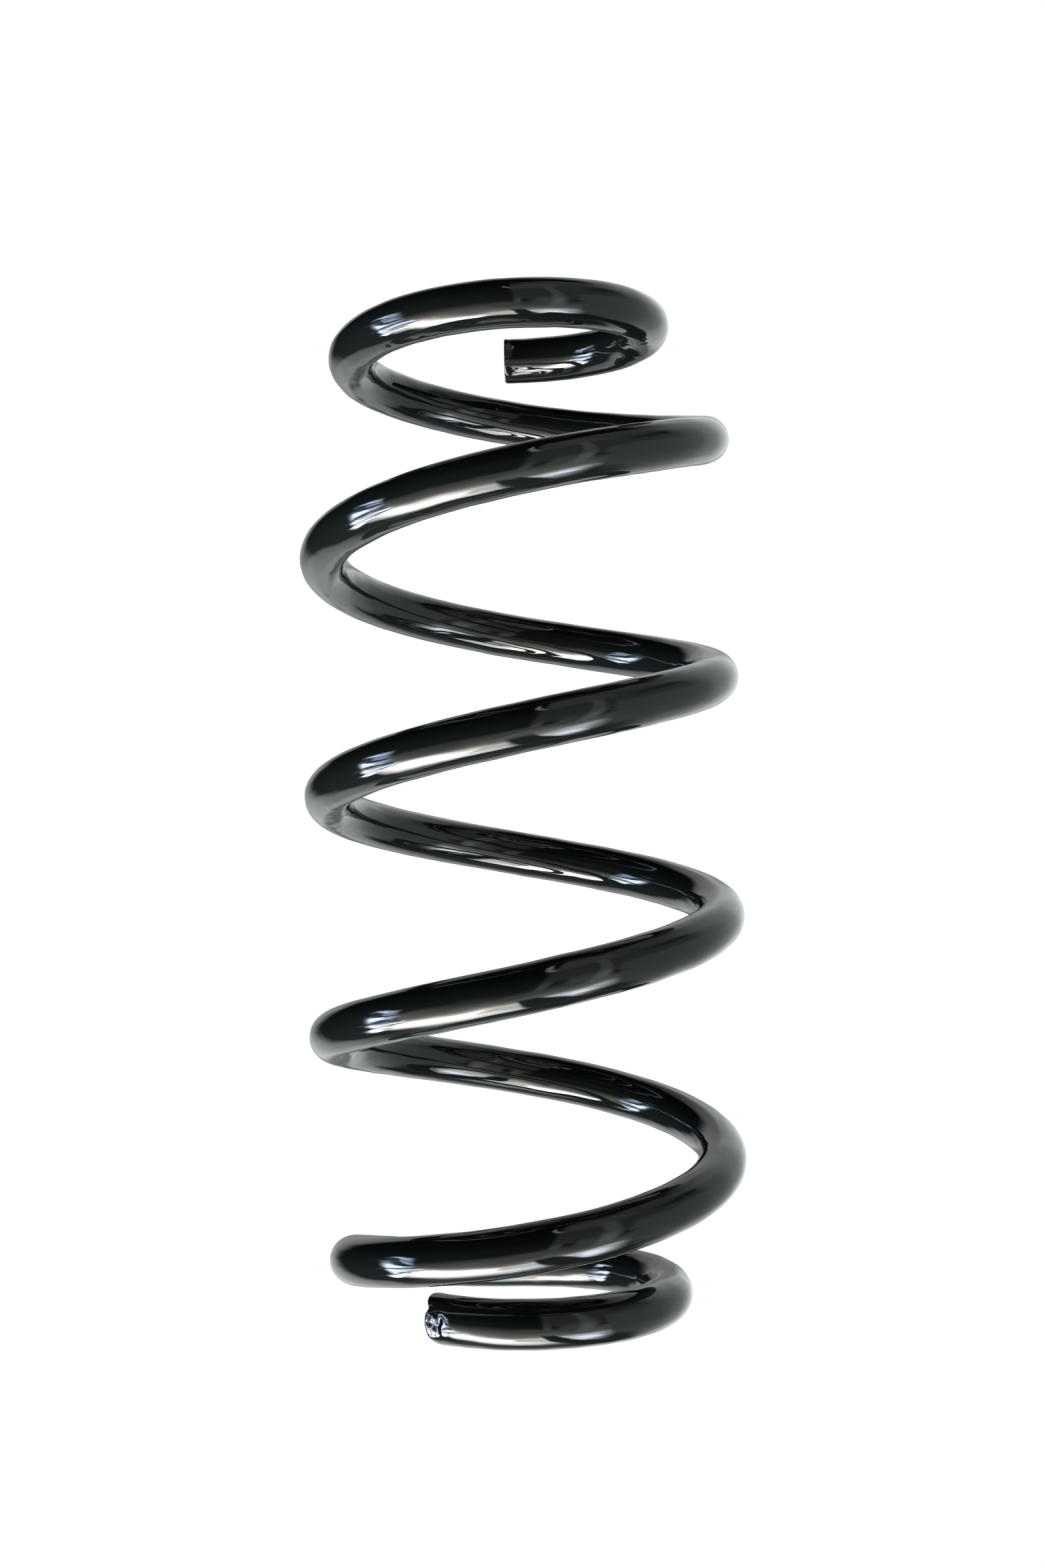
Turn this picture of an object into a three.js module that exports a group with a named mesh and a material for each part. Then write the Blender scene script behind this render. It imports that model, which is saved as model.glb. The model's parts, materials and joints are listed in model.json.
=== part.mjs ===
import * as THREE from 'three';

// Coil spring of a car's suspension: one round steel bar, wound right-handed about +Z, with a smaller
// flat end coil at each end. Millimetres. The origin is on the coil's axis, at the level that the lower
// end coil stands on. Places along the bar are counted in turns from its lower cut end.

const BAR_DIAMETER = 13;
const BODY_RADIUS = 54;
const END_RADIUS = 37;
const FREE_LENGTH = 281;
const TOTAL_TURNS = 5.63;
const LOWER_CUT_AZIMUTH = -132.6;

// The bar is parted square to itself where the lower end coil leaves its seat, where the upper one
// reaches its own, and at equal steps between, close to a quarter turn each.
const END_COIL_TURNS = 0.64;
const WORKING_PIECES = 18;
const PARTING_GAP = 0.3;

// Twelve flats stand for the round bar. They touch its circle, with one flat facing straight down.
const BAR_SIDES = 12;
const TURNS_PER_STEP = 0.027;
const CUT_EDGE_BEVEL = 1;

const SEAT_HEIGHT = BAR_DIAMETER / 2;
const TOP_HEIGHT = FREE_LENGTH - BAR_DIAMETER / 2;

// The coiling schedule: the radius and the height of the bar's centre at each station.
const COILING = [
  { turn: 0, radius: END_RADIUS, height: SEAT_HEIGHT },
  { turn: 0.31, radius: END_RADIUS, height: SEAT_HEIGHT },
  { turn: 0.64, radius: 42.8, height: SEAT_HEIGHT },
  { turn: 0.88, radius: 49.5, height: 18 },
  { turn: 1.16, radius: 51.5, height: 31 },
  { turn: 1.61, radius: BODY_RADIUS, height: 61 },
  { turn: 4.21, radius: BODY_RADIUS, height: 232.5 },
  { turn: 4.51, radius: 51, height: 252 },
  { turn: 4.76, radius: 48.5, height: 265 },
  { turn: 5.06, radius: 38.5, height: 272.5 },
  { turn: 5.36, radius: END_RADIUS, height: TOP_HEIGHT },
  { turn: TOTAL_TURNS, radius: END_RADIUS, height: TOP_HEIGHT },
];

const blackPaint = new THREE.MeshStandardMaterial({
  color: 0x0c0e0f,
  roughness: 0.16,
  metalness: 0,
});

// The rate of change at a station is the weighted harmonic mean of the two beside it, and zero where
// the schedule turns, levels out or ends, so the bar never overshoots a station.
function stationRate(index, key) {
  if (index === 0 || index === COILING.length - 1) {
    return 0;
  }
  const [before, here, after] = COILING.slice(index - 1, index + 2);
  const stepBefore = here.turn - before.turn;
  const stepAfter = after.turn - here.turn;
  const rateBefore = (here[key] - before[key]) / stepBefore;
  const rateAfter = (after[key] - here[key]) / stepAfter;
  if (rateBefore * rateAfter <= 0) {
    return 0;
  }
  const weightBefore = 2 * stepAfter + stepBefore;
  const weightAfter = stepAfter + 2 * stepBefore;
  return (weightBefore + weightAfter) / (weightBefore / rateBefore + weightAfter / rateAfter);
}

function scheduled(turn, key) {
  const reached = COILING.findLastIndex((station) => station.turn <= turn);
  const index = Math.min(reached, COILING.length - 2);
  const from = COILING[index];
  const to = COILING[index + 1];
  const step = to.turn - from.turn;
  const t = (turn - from.turn) / step;
  const rates = stationRate(index, key) * (1 - t) - stationRate(index + 1, key) * t;
  const levels = from[key] * (1 + 2 * t) * (1 - t) ** 2 + to[key] * t * t * (3 - 2 * t);
  return levels + step * t * (1 - t) * rates;
}

function azimuth(turn) {
  return THREE.MathUtils.degToRad(LOWER_CUT_AZIMUTH) + 2 * Math.PI * turn;
}

function barCentre(turn) {
  const radius = scheduled(turn, 'radius');
  const angle = azimuth(turn);
  return new THREE.Vector3(radius * Math.cos(angle), radius * Math.sin(angle), scheduled(turn, 'height'));
}

function barDirection(turn) {
  const reach = 1e-4;
  const before = barCentre(Math.max(turn - reach, 0));
  const after = barCentre(Math.min(turn + reach, TOTAL_TURNS));
  return after.sub(before).normalize();
}

// One twelve-sided section of the bar, square to it. shift moves it along the bar, and inset draws its
// flats in towards the centre.
function barSection(turn, shift = 0, inset = 0) {
  const along = barDirection(turn);
  const up = new THREE.Vector3(0, 0, 1);
  const outward = new THREE.Vector3().crossVectors(along, up).normalize();
  const upright = new THREE.Vector3().crossVectors(outward, along);
  const cornerRadius = (BAR_DIAMETER / 2 - inset) / Math.cos(Math.PI / BAR_SIDES);
  const centre = barCentre(turn).addScaledVector(along, shift);
  const corners = [];
  for (let side = 0; side < BAR_SIDES; side += 1) {
    const angle = (2 * Math.PI * (side + 0.5)) / BAR_SIDES;
    const corner = centre.clone();
    corner.addScaledVector(outward, cornerRadius * Math.cos(angle));
    corner.addScaledVector(upright, cornerRadius * Math.sin(angle));
    corners.push(corner);
  }
  return corners;
}

// A closed solid through a row of sections, each corner joined to the same corner of the next section.
function solidThrough(sections) {
  const positions = [];
  for (const section of sections) {
    for (const corner of section) {
      positions.push(corner.x, corner.y, corner.z);
    }
  }
  const triangles = [];
  for (let row = 0; row < sections.length - 1; row += 1) {
    for (let side = 0; side < BAR_SIDES; side += 1) {
      const next = (side + 1) % BAR_SIDES;
      const a = row * BAR_SIDES + side;
      const b = row * BAR_SIDES + next;
      const c = a + BAR_SIDES;
      const d = b + BAR_SIDES;
      triangles.push(a, c, b, b, c, d);
    }
  }
  const last = (sections.length - 1) * BAR_SIDES;
  for (let side = 1; side < BAR_SIDES - 1; side += 1) {
    triangles.push(0, side, side + 1);
    triangles.push(last, last + side + 1, last + side);
  }
  const geometry = new THREE.BufferGeometry();
  geometry.setAttribute('position', new THREE.Float32BufferAttribute(positions, 3));
  geometry.setIndex(triangles);
  geometry.computeVertexNormals();
  return geometry;
}

// The length of bar between two places. A parted end stops half a gap short of the parting plane, and
// the bar's own cut ends have a small bevel.
function barPiece(name, fromTurn, toTurn) {
  const steps = Math.ceil((toTurn - fromTurn) / TURNS_PER_STEP);
  const sections = [];
  for (let step = 1; step < steps; step += 1) {
    sections.push(barSection(fromTurn + ((toTurn - fromTurn) * step) / steps));
  }
  if (fromTurn === 0) {
    sections.unshift(barSection(0, CUT_EDGE_BEVEL));
    sections.unshift(barSection(0, 0, CUT_EDGE_BEVEL));
  } else {
    sections.unshift(barSection(fromTurn, PARTING_GAP / 2));
  }
  if (toTurn === TOTAL_TURNS) {
    sections.push(barSection(TOTAL_TURNS, -CUT_EDGE_BEVEL));
    sections.push(barSection(TOTAL_TURNS, 0, CUT_EDGE_BEVEL));
  } else {
    sections.push(barSection(toTurn, -PARTING_GAP / 2));
  }
  const piece = new THREE.Mesh(solidThrough(sections), blackPaint);
  piece.name = name;
  return piece;
}

// A working piece is named by the turn it belongs to and the quarter that its middle lies in.
function workingPieceName(index, middleTurn) {
  const quarters = ['back_right', 'back_left', 'front_left', 'front_right'];
  const quarterTurns = azimuth(middleTurn) / (Math.PI / 2);
  const quarter = quarters[((Math.floor(quarterTurns) % 4) + 4) % 4];
  return `working_coil_${1 + Math.floor(index / 4)}_${quarter}`;
}

function coilSpring() {
  const spring = new THREE.Group();
  const upperStart = TOTAL_TURNS - END_COIL_TURNS;
  const pieceTurns = (upperStart - END_COIL_TURNS) / WORKING_PIECES;
  spring.add(barPiece('lower_end_coil', 0, END_COIL_TURNS));
  for (let index = 0; index < WORKING_PIECES; index += 1) {
    const from = END_COIL_TURNS + pieceTurns * index;
    const to = from + pieceTurns;
    spring.add(barPiece(workingPieceName(index, (from + to) / 2), from, to));
  }
  spring.add(barPiece('upper_end_coil', upperStart, TOTAL_TURNS));
  return spring;
}

export default coilSpring();
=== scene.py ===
# A car's suspension coil spring: one round steel bar with a gloss black coating, in metres, +Z up.
# Places along the bar are counted in turns from its lower cut end. Angles round the bar's section
# are counted from the outer side of the coil, over the top.
import json
import math

import bpy
import numpy as np
from mathutils import Matrix, Vector

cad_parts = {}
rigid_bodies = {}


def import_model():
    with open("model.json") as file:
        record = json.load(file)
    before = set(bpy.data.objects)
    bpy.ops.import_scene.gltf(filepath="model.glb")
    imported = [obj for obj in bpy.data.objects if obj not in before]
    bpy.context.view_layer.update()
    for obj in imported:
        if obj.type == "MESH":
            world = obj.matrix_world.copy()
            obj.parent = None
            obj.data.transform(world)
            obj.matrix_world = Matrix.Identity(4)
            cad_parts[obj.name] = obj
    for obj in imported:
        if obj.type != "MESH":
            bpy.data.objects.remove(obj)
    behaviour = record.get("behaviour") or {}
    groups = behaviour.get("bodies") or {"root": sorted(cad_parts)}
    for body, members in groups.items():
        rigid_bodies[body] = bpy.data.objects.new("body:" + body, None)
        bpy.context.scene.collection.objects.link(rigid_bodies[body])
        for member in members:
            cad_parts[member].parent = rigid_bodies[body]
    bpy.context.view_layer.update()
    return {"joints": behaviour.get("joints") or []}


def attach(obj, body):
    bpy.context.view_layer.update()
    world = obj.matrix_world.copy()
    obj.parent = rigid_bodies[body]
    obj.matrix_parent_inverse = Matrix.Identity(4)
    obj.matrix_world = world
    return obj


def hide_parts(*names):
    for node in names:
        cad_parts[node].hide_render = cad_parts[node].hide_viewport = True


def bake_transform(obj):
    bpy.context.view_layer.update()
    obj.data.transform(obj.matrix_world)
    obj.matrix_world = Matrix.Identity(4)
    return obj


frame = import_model()

MM = 0.001
BAR_RADIUS = 6.5 * MM
END_RADIUS = 37 * MM
BODY_RADIUS = 54 * MM
LOW_HEIGHT = 6.5 * MM
TOP_HEIGHT = 274.5 * MM
TOTAL_TURNS = 5.63
END_COIL_TURNS = 0.64
LOWER_CUT_AZIMUTH = math.radians(-132.6)

# The coiling schedule of the CAD model: turn, radius and height of the bar's centre.
COILING = np.array([
    (0, END_RADIUS, LOW_HEIGHT),
    (0.31, END_RADIUS, LOW_HEIGHT),
    (0.64, 42.8 * MM, LOW_HEIGHT),
    (0.88, 49.5 * MM, 18 * MM),
    (1.16, 51.5 * MM, 31 * MM),
    (1.61, BODY_RADIUS, 61 * MM),
    (4.21, BODY_RADIUS, 232.5 * MM),
    (4.51, 51 * MM, 252 * MM),
    (4.76, 48.5 * MM, 265 * MM),
    (5.06, 38.5 * MM, 272.5 * MM),
    (5.36, END_RADIUS, TOP_HEIGHT),
    (TOTAL_TURNS, END_RADIUS, TOP_HEIGHT),
])
RADIUS, HEIGHT = 1, 2

# The schedule is averaged over this many turns either side, so that the bar's bend changes gradually
# and reflections run along it without a kink. The weights would reach zero a little past the last step.
EASE_TURNS = 0.05
EASE_STEPS = 7
EASE_REACH = 1.15 * EASE_TURNS

SIDES = 96
ROW_STEP = 1.0 * MM

# Steps either side of a place for finding directions: in turns, and in radians round the section.
SLOPE_STEP = 2e-4
SPEED_STEP = 1e-3
ANGLE_STEP = 0.01


# ---------------------------------------------------------------- the bar's line and section

def station_rates(column):
    """The rate of change at each station: the weighted harmonic mean of the two beside it."""
    steps = np.diff(COILING[:, 0])
    rates = np.diff(COILING[:, column]) / steps
    found = np.zeros(len(COILING))
    for i in range(1, len(COILING) - 1):
        before, after = rates[i - 1], rates[i]
        if before * after > 0:
            w_before = 2 * steps[i] + steps[i - 1]
            w_after = steps[i] + 2 * steps[i - 1]
            found[i] = (w_before + w_after) / (w_before / before + w_after / after)
    return found


STATION_RATES = {column: station_rates(column) for column in (RADIUS, HEIGHT)}


def exact_schedule(turn, column):
    """The radius or the height of the bar's centre, by the schedule as the CAD model follows it."""
    stations, values, rates = COILING[:, 0], COILING[:, column], STATION_RATES[column]
    turn = np.clip(turn, 0, TOTAL_TURNS)
    i = np.clip(np.searchsorted(stations, turn, side="right") - 1, 0, len(stations) - 2)
    step = stations[i + 1] - stations[i]
    t = (turn - stations[i]) / step
    levels = values[i] * (1 + 2 * t) * (1 - t) ** 2 + values[i + 1] * t * t * (3 - 2 * t)
    return levels + step * t * (1 - t) * (rates[i] * (1 - t) - rates[i + 1] * t)


def scheduled(turn, column):
    """The same, averaged over the stretch around the place."""
    shifts = np.linspace(-EASE_TURNS, EASE_TURNS, EASE_STEPS)
    weights = 1 + np.cos(math.pi * shifts / EASE_REACH)
    total = sum(w * exact_schedule(turn + s, column) for s, w in zip(shifts, weights))
    return total / weights.sum()


def azimuth(turn):
    return LOWER_CUT_AZIMUTH + 2 * math.pi * turn


def bar_centre(turn):
    radius, angle = scheduled(turn, RADIUS), azimuth(turn)
    return np.stack([radius * np.cos(angle), radius * np.sin(angle), scheduled(turn, HEIGHT)], -1)


def unit(v):
    return v / np.linalg.norm(v, axis=-1, keepdims=True)


def section_axes(turn):
    """The bar's direction at a place, and the section's outward and upright directions."""
    along = unit(bar_centre(turn + SLOPE_STEP) - bar_centre(turn - SLOPE_STEP))
    outward = unit(np.cross(along, [0.0, 0.0, 1.0]))
    return along, outward, np.cross(outward, along)


def turn_speed(turn):
    """Metres of bar in one turn, at a place."""
    stretch = bar_centre(turn + SPEED_STEP) - bar_centre(turn - SPEED_STEP)
    return np.linalg.norm(stretch, axis=-1) / (2 * SPEED_STEP)


# ---------------------------------------------------------------- the coating's surface

# Waves are spaced along the bar as if every turn had this length. A wave this long or wide has the
# depth of its set, and the longer ones are that much deeper.
METRES_PER_TURN = 0.33
NOMINAL_WAVE = 3 * MM


def wave_set(seed, count, depth, along, around):
    """Gentle waves over the bar: (waves round the section, metres per wave, phase, height)."""
    dice = np.random.default_rng(seed)
    lengths = along[0] * (along[1] / along[0]) ** dice.random(count)
    rounds = dice.integers(around[0], around[1] + 1, count)
    widths = 2 * math.pi * BAR_RADIUS / np.maximum(rounds, 1)
    heights = depth * np.minimum(lengths, widths) / NOMINAL_WAVE / math.sqrt(count)
    phases = 2 * math.pi * dice.random(count)
    return list(zip(rounds, lengths * dice.choice([-1, 1], count), phases, heights))


# The coating's slow swells, the streaks that the drawn bar leaves under it, and its ripple.
COATING_WAVES = [
    *wave_set(seed=3, count=24, depth=0.006 * MM, along=(10 * MM, 40 * MM), around=(0, 4)),
    *wave_set(seed=5, count=44, depth=0.015 * MM, along=(35 * MM, 170 * MM), around=(6, 20)),
    *wave_set(seed=8, count=40, depth=0.0015 * MM, along=(3 * MM, 8 * MM), around=(2, 12)),
]

# Along the underside it gathered in a row of shallow beads.
UNDERSIDE_WAVES = wave_set(seed=12, count=12, depth=0.006 * MM, along=(5 * MM, 14 * MM), around=(0, 3))
UNDERSIDE_SPREAD = 0.30


def coating(turn, angle):
    """How far the coating stands off the bar: it is a little thicker here and thinner there."""
    below = np.exp(-((np.sin((angle + math.pi / 2) / 2) / UNDERSIDE_SPREAD) ** 2))
    total = np.zeros(np.broadcast(turn, angle).shape)
    for waves, share in ((COATING_WAVES, 1), (UNDERSIDE_WAVES, below)):
        for around, length, phase, height in waves:
            place = 2 * math.pi * METRES_PER_TURN * turn / length
            total += share * height * np.sin(around * angle + place + phase)
    return total


def bar_surface(turn, angle):
    """Points of the coated bar's surface."""
    turn, angle = np.broadcast_arrays(turn, angle)
    _, outward, upright = section_axes(turn)
    reach = (BAR_RADIUS + coating(turn, angle))[..., None]
    return bar_centre(turn) + reach * (
        np.cos(angle)[..., None] * outward + np.sin(angle)[..., None] * upright
    )


# ---------------------------------------------------------------- meshes

def rows_of(surface, turns, angles, step_a, step_b):
    """Points and outward normals of a surface of two coordinates, on a grid."""
    a, b = np.meshgrid(turns, angles, indexing="ij")
    points = surface(a, b)
    rate_a = surface(a + step_a, b) - surface(a - step_a, b)
    rate_b = surface(a, b + step_b) - surface(a, b - step_b)
    return points, unit(np.cross(rate_a, rate_b))


def tube_mesh(name, points, normals, end_normals, end_points):
    """A closed tube through rows of points, with a fan to one point at each end."""
    rows, sides, _ = points.shape
    verts = np.concatenate([points.reshape(-1, 3), end_points])
    grid = np.arange(rows * sides).reshape(rows, sides)
    following = np.roll(grid, -1, axis=1)
    quads = np.stack([grid[:-1], grid[1:], following[1:], following[:-1]], -1).reshape(-1, 4)
    first, last = rows * sides, rows * sides + 1
    faces = [tuple(q) for q in quads.tolist()]
    faces += [(first, a, b) for a, b in zip(grid[0].tolist(), following[0].tolist())]
    faces += [(last, b, a) for a, b in zip(grid[-1].tolist(), following[-1].tolist())]
    mesh = bpy.data.meshes.new(name)
    mesh.from_pydata(verts.tolist(), [], faces)
    flat = normals.reshape(-1, 3)
    corner_normals = [tuple(flat[i]) for q in quads.tolist() for i in q]
    corner_normals += [tuple(end_normals[0])] * (3 * sides)
    corner_normals += [tuple(end_normals[1])] * (3 * sides)
    mesh.normals_split_custom_set(corner_normals)
    mesh.update()
    return mesh


def add_piece(name, mesh, replaced):
    piece = bpy.data.objects.new(name, mesh)
    bpy.context.scene.collection.objects.link(piece)
    mesh.materials.append(black_coating)
    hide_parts(*replaced)
    return piece


def bar_length(name, start, stop):
    """The bar between two places, square to itself at both ends."""
    length = (stop - start) * turn_speed((start + stop) / 2)
    turns = np.linspace(start, stop, math.ceil(length / ROW_STEP) + 1)
    angles = np.linspace(0, 2 * math.pi, SIDES, endpoint=False)
    points, normals = rows_of(bar_surface, turns, angles, SLOPE_STEP, ANGLE_STEP)
    ends = np.array([start, stop])
    along = section_axes(ends)[0]
    return tube_mesh(name, points, normals, [-along[0], along[1]], bar_centre(ends))


# ---------------------------------------------------------------- the two cut ends

# How each end was left by the cut, in millimetres and in degrees round the section. A dent is
# (distance from the cut, angle, half length, half width, depth); a negative depth stands proud. A rim
# row is (angle, half width, radius) and an inset row is (angle, half width, how far the end is drawn
# in); both add to the plain values before them.
LOWER_CUT = {
    "dents": [
        (2.8, 0, 3.0, 3.6, 0.75), (1.8, 20, 1.2, 1.3, -0.25), (2.6, -14, 1.1, 1.2, -0.28),
        (4.6, 6, 1.0, 1.4, 0.2), (1.6, -34, 1.1, 1.1, -0.22), (5.2, -10, 0.8, 1.2, -0.15),
        (1.2, 40, 1.2, 0.9, 0.3), (0.8, -4, 0.8, 1.0, -0.2), (3.4, 30, 0.9, 1.0, -0.12),
        (1.2, -62, 1.4, 1.6, 0.12), (1.4, 150, 2.0, 2.4, 0.35), (1.4, 8, 0.7, 0.8, -0.22),
        (2.2, -2, 0.7, 0.7, 0.2), (3.0, 14, 0.8, 0.8, -0.2), (3.6, -12, 0.8, 0.8, 0.2),
        (2.2, -120, 1.8, 2.2, 0.3), (1.0, -160, 1.2, 1.6, -0.2),
    ],
    "rim": 0.6, "rims": [(-68, 34, 1.5), (180, 50, 0.8)],
    "inset": 0.15, "insets": [(88, 38, -2.2), (36, 12, 0.7), (-85, 35, -1.0)],
    "hollow": 0.7,
}
UPPER_CUT = {
    "dents": [
        (1.0, 128, 1.0, 1.2, -0.10), (2.3, 140, 1.4, 1.6, 0.10), (1.0, -128, 1.0, 1.4, -0.12),
        (2.6, -140, 1.8, 1.4, 0.12), (3.8, -156, 3.5, 0.9, -0.06), (4.6, 170, 3.5, 1.4, 0.05),
        (1.6, 96, 1.4, 1.8, 0.12), (1.8, 20, 2.4, 2.6, 0.30), (6.5, -146, 3.5, 0.8, 0.05),
    ],
    "rim": 0.4, "rims": [(-90, 40, 0.5), (20, 50, 0.7)],
    "inset": 0.1, "insets": [(180, 60, -0.5), (0, 60, 0.7), (-100, 18, 0.2)],
    "hollow": 0.45,
}
CUT_ROW_STEP = 0.3 * MM
CUT_ROWS_LENGTH = 12 * MM
RIM_ROWS = 9
FACE_ROWS = 12

# A cut end's surface is laid out by one number, its place: the face's middle is 0, its edge 1, the
# rim's end 2 and the piece's far end 3. The innermost row stops short of the face's middle.
FACE_START = 0.04
PLACE_STEP = 1e-4

# The end coils keep one radius this many turns in, where their length per turn is measured.
PLAIN_TURNS = 0.1

# Dents and the coating's waves fade towards the middle of the face by this power of the radius.
FACE_FADE = 3


def hill(angle, centre, half):
    """1 at a place round the section, falling to about a third at half degrees either side."""
    off = (np.degrees(angle) - centre + 180) % 360 - 180
    return np.exp(-((off / half) ** 2))


def dent_depth(distance, angle, dents):
    """How deep the dents are at a distance from the cut."""
    total = np.zeros(np.broadcast(distance, angle).shape)
    for place, around, half_length, half_width, depth in dents:
        half_angle = math.degrees(half_width * MM / BAR_RADIUS)
        along = np.exp(-(((distance / MM - place) / half_length) ** 2))
        total += depth * MM * along * hill(angle, around, half_angle)
    return total


def around_value(plain, rows, angle):
    """A plain value with what each row adds to it at an angle, in metres."""
    return (plain + sum(size * hill(angle, at, half) for at, half, size in rows)) * MM


def cut_end_surface(cut, far_turn, at_start):
    """A surface of (place, angle), and the distance from the cut to its far end."""
    plain_speed = float(turn_speed(np.array(PLAIN_TURNS if at_start else TOTAL_TURNS - PLAIN_TURNS)))
    far = plain_speed * (far_turn if at_start else TOTAL_TURNS - far_turn)

    def surface(place, angle):
        place, angle = np.broadcast_arrays(place, angle)
        if not at_start:
            place = 3 - place
        rim = around_value(cut["rim"], cut["rims"], angle)
        inset = around_value(cut["inset"], cut["insets"], angle)
        face = np.clip(place, 0, 1)
        bend = np.clip(place - 1, 0, 1) * math.pi / 2
        side = np.clip(place - 2, 0, 1)
        hollow = cut["hollow"] * MM * (1 - face ** 2)
        distance = inset * face ** 2 + hollow + rim * (1 - np.cos(bend))
        distance = distance + side * (far - inset - rim)
        reach = (BAR_RADIUS - rim) * face + rim * np.sin(bend)
        share = (reach / BAR_RADIUS) ** FACE_FADE
        turn = distance / plain_speed
        if not at_start:
            turn = TOTAL_TURNS - turn
        reach = reach + share * (coating(turn, angle) - dent_depth(distance, angle, cut["dents"]))
        _, outward, upright = section_axes(turn)
        return bar_centre(turn) + reach[..., None] * (
            np.cos(angle)[..., None] * outward + np.sin(angle)[..., None] * upright
        )

    return surface, far


def cut_end(name, cut, far_turn, at_start):
    """The bar's end from its cut to a place further in, square to itself there."""
    surface, far = cut_end_surface(cut, far_turn, at_start)
    close = np.arange(0, CUT_ROWS_LENGTH, CUT_ROW_STEP) / far
    rest = np.linspace(CUT_ROWS_LENGTH / far, 1, math.ceil((far - CUT_ROWS_LENGTH) / ROW_STEP))
    places = np.concatenate([
        np.linspace(FACE_START, 1, FACE_ROWS, endpoint=False),
        np.linspace(1, 2, RIM_ROWS, endpoint=False),
        2 + close,
        2 + rest,
    ])
    if not at_start:
        places = 3 - places[::-1]
    angles = np.linspace(0, 2 * math.pi, SIDES, endpoint=False)
    points, normals = rows_of(surface, places, angles, PLACE_STEP, ANGLE_STEP)
    ends = np.array([0, far_turn] if at_start else [far_turn, TOTAL_TURNS])
    along = section_axes(ends)[0]
    middles = bar_centre(ends)
    face_row = 0 if at_start else -1
    middles[face_row] = points[face_row].mean(axis=0)
    return tube_mesh(name, points, normals, [-along[0], along[1]], middles)


# ---------------------------------------------------------------- materials

def add_node(tree, kind, inputs=None, **settings):
    """A new node. inputs gives each socket a value, or another node's output to read."""
    node = tree.nodes.new(kind)
    for key, value in settings.items():
        setattr(node, key, value)
    for key, value in (inputs or {}).items():
        if isinstance(value, bpy.types.NodeSocket):
            tree.links.new(value, node.inputs[key])
        else:
            node.inputs[key].default_value = value
    return node


def new_tree(material):
    material.use_nodes = True
    material.node_tree.nodes.clear()
    return material.node_tree


def coating_material():
    """Gloss black coating: a fine orange peel and slightly duller patches."""
    material = bpy.data.materials.new("gloss_black_coating")
    tree = new_tree(material)
    place = add_node(tree, "ShaderNodeTexCoord").outputs["Object"]
    peel = add_node(tree, "ShaderNodeTexNoise", {"Vector": place, "Scale": 260.0, "Detail": 2.0})
    bump = add_node(tree, "ShaderNodeBump", {
        "Height": peel.outputs["Fac"], "Strength": 0.02, "Distance": 0.0001,
    })
    haze = add_node(tree, "ShaderNodeTexNoise", {"Vector": place, "Scale": 35.0, "Detail": 3.0})
    roughness = add_node(tree, "ShaderNodeMapRange", {
        "Value": haze.outputs["Fac"], "To Min": 0.025, "To Max": 0.06,
    })
    shader = add_node(tree, "ShaderNodeBsdfPrincipled", {
        "Base Color": (0.0035, 0.0048, 0.0044, 1), "Roughness": roughness.outputs["Result"],
        "Normal": bump.outputs["Normal"], "IOR": 1.5,
    })
    add_node(tree, "ShaderNodeOutputMaterial", {"Surface": shader.outputs[0]})
    return material


black_coating = coating_material()


# ---------------------------------------------------------------- the spring

def build_spring():
    """One piece lies across each hinge, from the middle of one node to the middle of the next. The bar
    lengths stay where they are built, and the two cut ends ride on the end bodies.
    """
    joints = frame["joints"]
    count = len(joints)
    hinge_turns = np.linspace(END_COIL_TURNS, TOTAL_TURNS - END_COIL_TURNS, count)
    half = (hinge_turns[1] - hinge_turns[0]) / 2
    cuts = [hinge_turns[0] - half, *(hinge_turns + half)]
    lower, upper = joints[0]["parent"], joints[-1]["child"]
    name = "lower_cut_end"
    piece = add_piece(name, cut_end(name, LOWER_CUT, cuts[0], True), [lower])
    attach(piece, lower)
    for i, joint in enumerate(joints):
        name = f"bar_length_{i + 1:02d}"
        start, stop = cuts[i], cuts[i + 1]
        pair = [joint["parent"], joint["child"]]
        piece = add_piece(name, bar_length(name, start, stop), pair)
        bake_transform(piece)
    name = "upper_cut_end"
    piece = add_piece(name, cut_end(name, UPPER_CUT, cuts[-1], False), [upper])
    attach(piece, upper)


build_spring()


# ---------------------------------------------------------------- studio

# What the bar mirrors where no patch lies.
DARK_ROOM = (0.006, 0.007, 0.007)

# What the bar mirrors of the room, in degrees: (colour, across, height, lean). Across is 0 towards the
# front and positive to the right. Each span is its centre, its half width and its edge's softness.
# Lean moves a patch to the left by that many degrees for each degree of height.
ROOM_PATCHES = [
    ((0.55, 0.57, 0.56), (-179, 34, 8), (0, 50, 10), 0.3),     # back wall
    ((1.10, 1.13, 1.15), (-178, 34, 9), (-34, 24, 12), 0.3),
    ((0.34, 0.38, 0.37), (85, 44, 12), (66, 14, 6), 0),        # pale ceiling, right
    ((0.50, 0.56, 0.50), (34, 30, 6), (62, 20, 8), 0),
    ((0.32, 0.37, 0.36), (100, 54, 4), (20, 36, 10), 0),       # right wall
    ((0.10, 0.12, 0.12), (90, 20, 14), (44, 5, 5), 0),
    ((0.58, 0.66, 0.65), (112, 64, 4), (-12, 38, 8), 0),
    ((0.66, 0.71, 0.71), (140, 34, 8), (6, 50, 8), 0),
    ((0.90, 0.96, 0.97), (146, 24, 12), (0, 46, 8), 0),
    ((1.25, 1.30, 1.32), (160, 17, 10), (-8, 38, 10), 0),
    ((0.30, 0.34, 0.31), (26, 22, 2), (26, 24, 8), 0),         # front right corner
    ((0.45, 0.47, 0.47), (180, 13, 5), (5, 15, 7), 0),         # far end of the room
    ((0.26, 0.28, 0.28), (180, 9, 4), (-13, 12, 5), 0),
]

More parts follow.
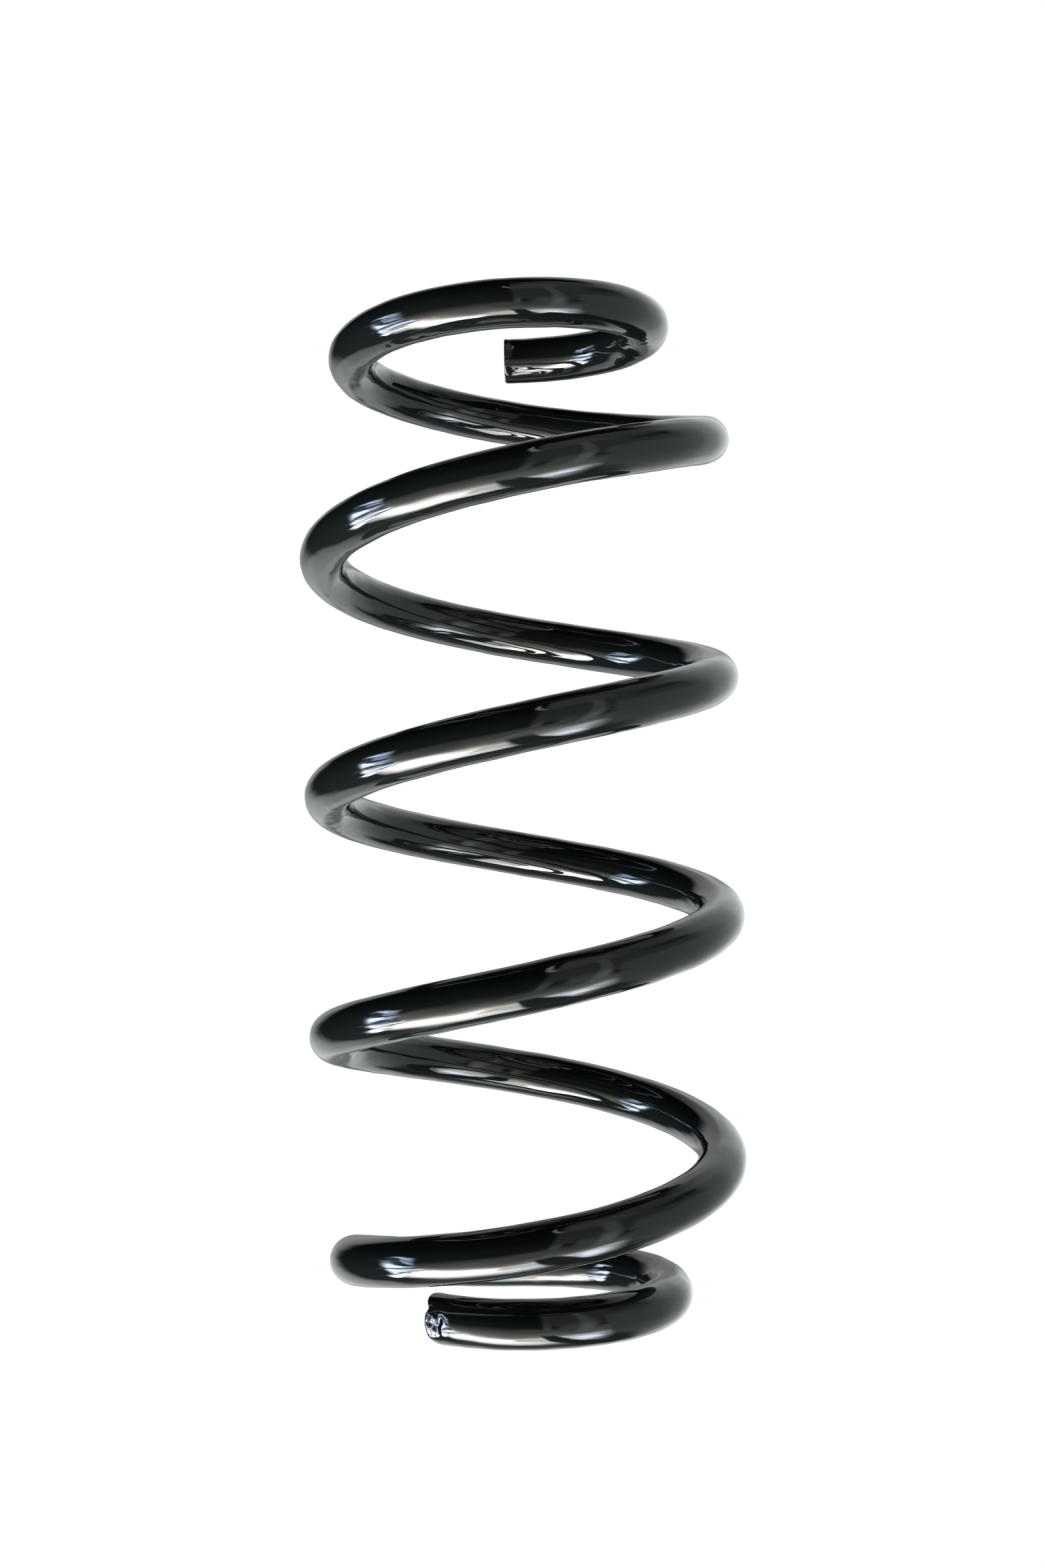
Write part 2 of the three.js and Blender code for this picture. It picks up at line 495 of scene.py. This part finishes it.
# Strips of light and shade in the front right corner, across both the room and the table.
CORNER_PATCHES = [
    ((0.75, 0.77, 0.68), (-3, 7, 3), (-22, 10, 4), 0),
    ((0.8, 0.9, 0.8), (8, 3, 1.5), (-8, 15, 10), 0),
    ((0.68, 0.76, 0.71), (26, 6.5, 4), (-7, 14, 12), 0),
    ((0.75, 0.82, 0.82), (38, 4.5, 2), (36, 22, 8), 0),
    ((1.45, 1.60, 1.58), (38, 5.0, 3.5), (-10, 20, 14), 0),
]

# The table in front of the spring: where it lies, across in degrees and back per metre of depth. Its
# glow is brightest close in front, up to a reach per metre of depth. It falls off there by a high power
# and then slowly, and it is dimmed below the spring itself.
TABLE_ACROSS = (-24, 76, 7)
TABLE_BACK = (-50, 50.04, 0.05)
TABLE_TINT = (1.0, 0.965, 0.91)
TABLE_PEAK = 28.0
BRIGHT_REACH = 0.64
BRIGHT_FALL = 8
FAR_GLOW = 3.0
FAR_START = 0.3
FAR_FALL = 1.25
FOOT_REACH = 0.22
FOOT_SHADE = 0.25

# What lies on the table and beside it, per metre of depth: (colour, right, back, lean).
TABLE_PATCHES = [
    ((0.2, 0.2, 0.22), (0, 0.5, 0.12), (0.32, 0.26, 0.08), 0),         # the table behind, in shade
    ((10.5, 10.2, 9.6), (0.02, 0.2, 0.06), (-0.5, 0.18, 0.06), 0),
    ((8.0, 8.6, 9.2), (0.08, 0.38, 0.28), (-0.42, 0.40, 0.25), 0.9),  # skylight on the table
    ((16, 17.2, 18.6), (0.56, 0.12, 0.09), (-0.42, 0.16, 0.12), 0),
    ((0.01, 0.01, 0.01), (0.31, 0.13, 0.03), (-0.1, 1.0, 0.25), -0.14),  # the gap beside the table
]

# The window on the left, and its light on the sill and on the table's near corner.
WINDOW_PATCHES = [
    ((3.6, 4.3, 5.8), (-82, 10, 4), (-4, 18, 6), 0.15),
    ((8.6, 10.4, 14.0), (-85, 5, 3), (-3, 17, 4), 0.1),
    ((8.6, 9.6, 11.6), (-79, 13, 3), (-29, 7, 2), 0),
    ((20, 21, 23), (-76, 11, 4), (-41, 4.5, 2.5), -0.3),
]

# The window's glazing bars.
GLAZING_PATCHES = [
    ((0.5, 0.7, 1.2), (-83, 14, 3), (-19.5, 1.2, 1.2), 0),
    ((0.9, 1.2, 2.2), (-83, 14, 3), (4, 0.7, 0.9), 0),
    ((1.0, 1.3, 2.0), (-80, 20, 4), (-35.5, 0.8, 0.9), 0),
]

# Branches outside break the window into slanting streaks: degrees across and up for one streak, its
# slope, the noise levels between which the light changes, and how much of it gets through at the
# least and at the most.
BRANCH_SIZE = (26.0, 8.0)
BRANCH_SLOPE = 0.4
BRANCH_NOISE = (0.42, 0.58)
BRANCH_LIGHT = (0.04, 2.1)

# A lamp high in the front right corner.
LAMP_PATCHES = [
    ((2.4, 2.5, 2.4), (42.5, 2.5, 2.5), (66, 11, 4), 0.7),
]


class Surroundings:
    """A colour for each direction, made by painting patches one over another in a world's nodes."""

    def __init__(self, tree):
        self.tree = tree
        direction = add_node(tree, "ShaderNodeTexCoord").outputs["Generated"]
        parts = add_node(tree, "ShaderNodeSeparateXYZ", {"Vector": direction}).outputs
        frontward = self.calc("MULTIPLY", parts["Y"], -1.0)
        self.across = self.calc("DEGREES", self.calc("ARCTAN2", parts["X"], frontward))
        self.height = self.calc("DEGREES", self.calc("ARCSINE", parts["Z"]))
        depth = self.calc("MAXIMUM", self.calc("MULTIPLY", parts["Z"], -1.0), 0.001)
        self.right = self.calc("DIVIDE", parts["X"], depth)
        self.back = self.calc("DIVIDE", parts["Y"], depth)
        self.below = self.calc("LESS_THAN", parts["Z"], 0.0)
        self.color = self.steady(DARK_ROOM)

    def calc(self, operation, *values):
        inputs = dict(enumerate(values))
        return add_node(self.tree, "ShaderNodeMath", inputs, operation=operation).outputs[0]

    def steady(self, tint):
        socket = add_node(self.tree, "ShaderNodeRGB").outputs[0]
        socket.default_value = (*tint, 1)
        return socket

    def scaled(self, tint, factor):
        return add_node(self.tree, "ShaderNodeVectorMath", {0: tint, "Scale": factor},
                        operation="SCALE").outputs[0]

    def band(self, value, span, wrap=False):
        """1 inside a span and 0 outside it, changing softly at its edges."""
        centre, half, soft = span
        off = self.calc("SUBTRACT", value, centre)
        if wrap:
            off = self.calc("WRAP", off, 180.0, -180.0)
        ramp = add_node(self.tree, "ShaderNodeMapRange", {
            "Value": self.calc("ABSOLUTE", off), "From Min": half - soft, "From Max": half + soft,
            "To Min": 1.0, "To Max": 0.0,
        }, interpolation_type="SMOOTHSTEP")
        return ramp.outputs["Result"]

    def both(self, first, second):
        """1 only where both are."""
        return self.calc("MULTIPLY", first, second)

    def leaning(self, value, by, lean):
        return self.calc("MULTIPLY_ADD", by, lean, value) if lean else value

    def paint(self, tint, share):
        """Lay a tint over the colour so far, by its share in each direction."""
        mix = add_node(self.tree, "ShaderNodeMix", {"Factor": share, 6: self.color, 7: tint},
                       data_type="RGBA")
        self.color = mix.outputs[2]

    def paint_room(self, patches, shade=None):
        """Patches placed by degrees across and up. shade dims them from direction to direction."""
        for tint, across, height, lean in patches:
            tint = self.scaled(self.steady(tint), shade) if shade else (*tint, 1)
            sideways = self.band(self.leaning(self.across, self.height, lean), across, wrap=True)
            self.paint(tint, self.both(sideways, self.band(self.height, height)))

    def paint_table(self, patches):
        """Patches placed by metres to the right and back, per metre of depth."""
        for tint, right, back, lean in patches:
            sideways = self.band(self.leaning(self.right, self.back, lean), right)
            self.paint((*tint, 1), self.both(self.below, self.both(sideways, self.band(self.back, back))))


def paint_table_glow(view):
    forward = view.calc("MAXIMUM", view.calc("MULTIPLY", view.back, -1.0), 0.0)
    fall = view.calc("POWER", view.calc("DIVIDE", forward, BRIGHT_REACH), BRIGHT_FALL)
    near = view.calc("DIVIDE", TABLE_PEAK, view.calc("ADD", fall, 1.0))
    far = view.calc("DIVIDE", FAR_GLOW, view.calc("POWER", view.calc("ADD", forward, FAR_START), FAR_FALL))
    glow = view.calc("MINIMUM", view.calc("ADD", near, far), TABLE_PEAK)
    foot = add_node(view.tree, "ShaderNodeMapRange", {
        "Value": forward, "From Max": FOOT_REACH, "To Min": FOOT_SHADE, "To Max": 1.0,
    }).outputs["Result"]
    tint = view.scaled(view.steady(TABLE_TINT), view.calc("MULTIPLY", glow, foot))
    extent = view.both(view.band(view.across, TABLE_ACROSS), view.band(view.back, TABLE_BACK))
    view.paint(tint, view.both(view.below, extent))


def light_through_branches(view):
    """How much of the window's light comes through in each direction."""
    slanted = view.calc("MULTIPLY_ADD", view.across, BRANCH_SLOPE, view.height)
    place = add_node(view.tree, "ShaderNodeCombineXYZ", {
        "X": view.calc("DIVIDE", view.across, BRANCH_SIZE[0]),
        "Y": view.calc("DIVIDE", slanted, BRANCH_SIZE[1]),
    }).outputs[0]
    branches = add_node(view.tree, "ShaderNodeTexNoise", {"Vector": place, "Scale": 1.0, "Detail": 1.0})
    return add_node(view.tree, "ShaderNodeMapRange", {
        "Value": branches.outputs["Fac"], "From Min": BRANCH_NOISE[0], "From Max": BRANCH_NOISE[1],
        "To Min": BRANCH_LIGHT[0], "To Max": BRANCH_LIGHT[1],
    }).outputs["Result"]


def studio_world():
    """White behind the object, and the room, the table and the window for everything it mirrors."""
    world = bpy.data.worlds.new("studio")
    bpy.context.scene.world = world
    tree = new_tree(world)
    view = Surroundings(tree)
    view.paint_room(ROOM_PATCHES)
    paint_table_glow(view)
    view.paint_table(TABLE_PATCHES)
    view.paint_room(CORNER_PATCHES)
    view.paint_room(WINDOW_PATCHES, light_through_branches(view))
    view.paint_room(GLAZING_PATCHES)
    view.paint_room(LAMP_PATCHES)

    seen = add_node(tree, "ShaderNodeLightPath").outputs["Is Camera Ray"]
    lit = add_node(tree, "ShaderNodeBackground", {"Color": view.color, "Strength": 1.0})
    white = add_node(tree, "ShaderNodeBackground", {"Color": (1, 1, 1, 1), "Strength": 1.0})
    mix = add_node(tree, "ShaderNodeMixShader", {"Fac": seen, 1: lit.outputs[0], 2: white.outputs[0]})
    add_node(tree, "ShaderNodeOutputWorld", {"Surface": mix.outputs[0]})


studio_world()


FLOOR_REACH = 3.0


def floor():
    """A plain white floor that throws no light on the object and isn't mirrored in it."""
    mesh = bpy.data.meshes.new("floor")
    corners = [(x * FLOOR_REACH, y * FLOOR_REACH, 0) for x, y in ((-1, -1), (1, -1), (1, 1), (-1, 1))]
    mesh.from_pydata(corners, [], [(0, 1, 2, 3)])
    plane = bpy.data.objects.new("floor", mesh)
    bpy.context.scene.collection.objects.link(plane)
    material = bpy.data.materials.new("white_floor")
    tree = new_tree(material)
    glow = add_node(tree, "ShaderNodeEmission", {"Color": (1, 1, 1, 1), "Strength": 1.0})
    add_node(tree, "ShaderNodeOutputMaterial", {"Surface": glow.outputs[0]})
    mesh.materials.append(material)
    plane.visible_glossy = False
    plane.visible_diffuse = False
    plane.visible_shadow = False


floor()


# ---------------------------------------------------------------- camera

CAMERA_PLACE = Vector((-0.36, -597.29, 132.77)) * MM
CAMERA_PITCH = math.radians(1.4436)
CAMERA_ROLL = math.radians(1.295)
SENSOR_WIDTH = 36
LENS = 73.88
CLOSEST = 0.01
FARTHEST = 50


def camera():
    data = bpy.data.cameras.new("camera")
    data.sensor_width = SENSOR_WIDTH
    data.sensor_fit = "HORIZONTAL"
    data.lens = LENS
    data.clip_start = CLOSEST
    data.clip_end = FARTHEST
    eye = bpy.data.objects.new("camera", data)
    bpy.context.scene.collection.objects.link(eye)
    upright = Matrix.Rotation(math.pi / 2 + CAMERA_PITCH, 4, "X")
    roll = Matrix.Rotation(CAMERA_ROLL, 4, "Y")
    eye.matrix_world = Matrix.Translation(CAMERA_PLACE) @ roll @ upright
    bpy.context.scene.camera = eye


camera()
bpy.context.scene.view_settings.view_transform = "Standard"
